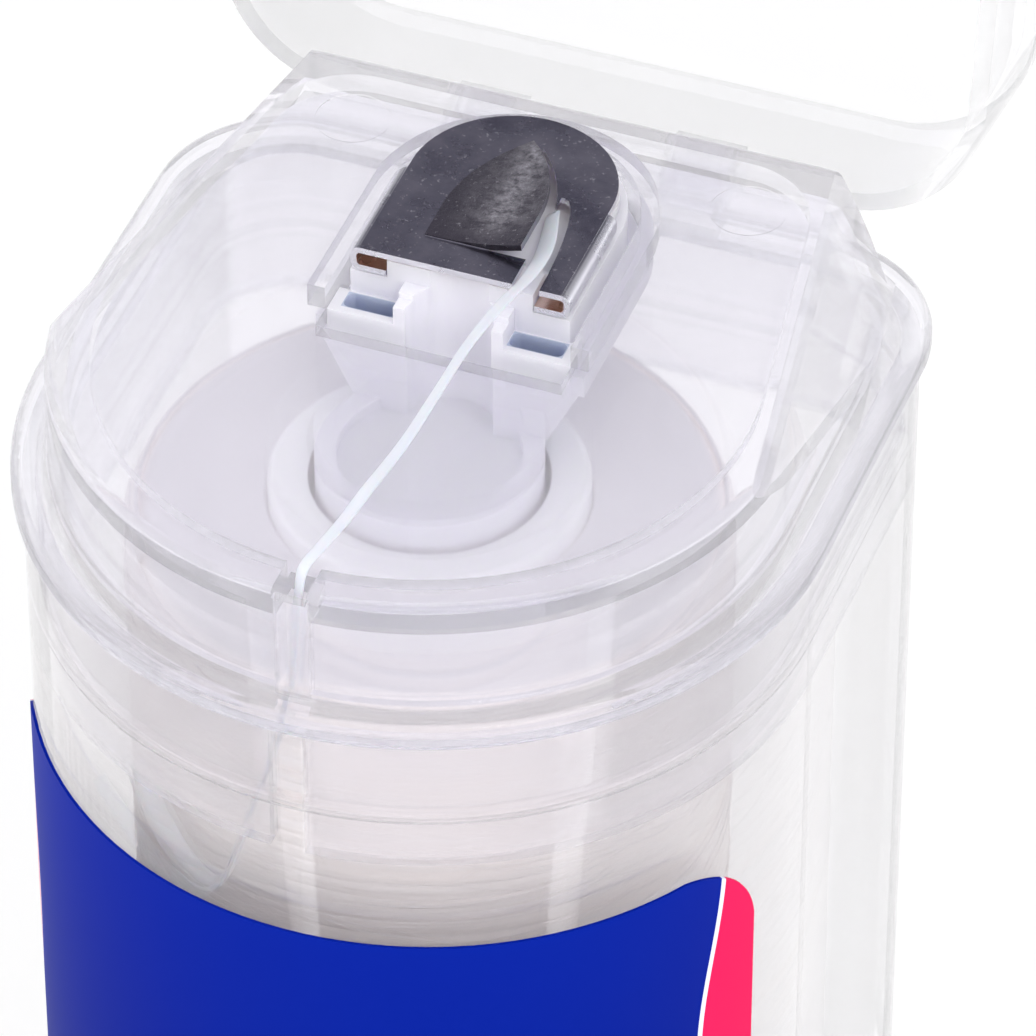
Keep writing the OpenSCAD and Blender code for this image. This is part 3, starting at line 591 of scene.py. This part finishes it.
def soften_edges(obj, width):
    """Small roundings on the sharp edges of a rigid node, as moulding and stamping leave them."""
    weld = obj.modifiers.new("weld", "WELD")
    weld.merge_threshold = 0.002 * MM
    bevel = obj.modifiers.new("edge_rounding", "BEVEL")
    bevel.width = width * MM
    bevel.segments = 2
    bevel.limit_method = "ANGLE"
    bevel.angle_limit = math.radians(40)
    bevel.harden_normals = False
    bevel.use_clamp_overlap = True


soften_edges(nodes["cutter"], 0.05)
soften_edges(nodes["floss_guide"], 0.12)


def soft_light(name, place, aim, size, watts, colour):
    """A rectangular lamp, with its places and size in metres."""
    data = bpy.data.lights.new(name, "AREA")
    data.shape = "RECTANGLE"
    data.size, data.size_y = size
    data.energy = watts
    data.color = colour
    obj = bpy.data.objects.new(name, data)
    scene.collection.objects.link(obj)
    obj.location = place
    obj.rotation_mode = "QUATERNION"
    obj.rotation_quaternion = (Vector(aim) - Vector(place)).to_track_quat("-Z", "Y")


soft_light("key", (0.25, -0.22, 0.42), (0, 0, 0.04), size=(0.20, 0.20), watts=0.75, colour=(1, 0.99, 0.97))
soft_light("side", (-0.42, -0.05, 0.25), (0, 0, 0.03), size=(0.25, 0.3), watts=0.4, colour=(1.0, 0.97, 0.97))
soft_light("front", (0.06, -0.50, 0.14), (0, 0, 0.03), size=(0.5, 0.3), watts=0.7, colour=(1, 0.965, 0.94))

# Floor: nearly white where the camera sees it, in the open, in a reflection or through clear plastic, and
# with the object's shadow
FLOOR_HALF = 3  # metres
FLOOR_GLOW = 0.82
CORNERS = (-1, -1), (1, -1), (1, 1), (-1, 1)

floor_mat = Material("floor_white")
floor_mat.set(Base_Color=(0.93, 0.93, 0.94), Roughness=0.9, Specular_IOR_Level=0.1)
rays = floor_mat.add("LightPath").outputs
seen = floor_mat.maths("MAXIMUM", rays["Is Camera Ray"], rays["Is Glossy Ray"])
seen = floor_mat.maths("MAXIMUM", seen, rays["Is Transmission Ray"])
glow = floor_mat.add("Emission")
floor_mat.put(glow, "Color", (1, 1, 1, 1))
blend = floor_mat.add("MixShader")
floor_mat.put(blend, "Fac", floor_mat.maths("MULTIPLY", seen, FLOOR_GLOW))
floor_mat.put(blend, 1, floor_mat.bsdf.outputs[0])
floor_mat.put(blend, 2, glow.outputs[0])
floor_mat.put(floor_mat.tree.nodes["Material Output"], "Surface", blend.outputs[0])
floor = add_mesh("floor", [(x * FLOOR_HALF, y * FLOOR_HALF, 0) for x, y in CORNERS], [(0, 1, 2, 3)],
                 floor_mat.mat)

# World: a pale studio sky, a little darker just above the horizon so that clear edges show
SKY = [(0.0, (0.93, 0.93, 0.98)), (0.05, (0.88, 0.87, 0.95)), (0.4, (0.96, 0.955, 1.0)),
       (1.0, (0.99, 0.985, 1))]

world = bpy.data.worlds.new("studio")
scene.world = world
world.use_nodes = True
sky = Nodes(world.node_tree, "Generated")
background = sky.tree.nodes["Background"]
sky.put(background, "Color", sky.ramp(sky.parts()[2], SKY, smooth=True))
sky.put(background, "Strength", 1.0)

# Render: light passes many clear walls, so it needs many bounces
scene.view_settings.view_transform = "Standard"
scene.cycles.max_bounces = 32
scene.cycles.transmission_bounces = 32
scene.cycles.glossy_bounces = 32
scene.cycles.diffuse_bounces = 12
scene.cycles.transparent_max_bounces = 16
scene.cycles.sample_clamp_indirect = 4.0
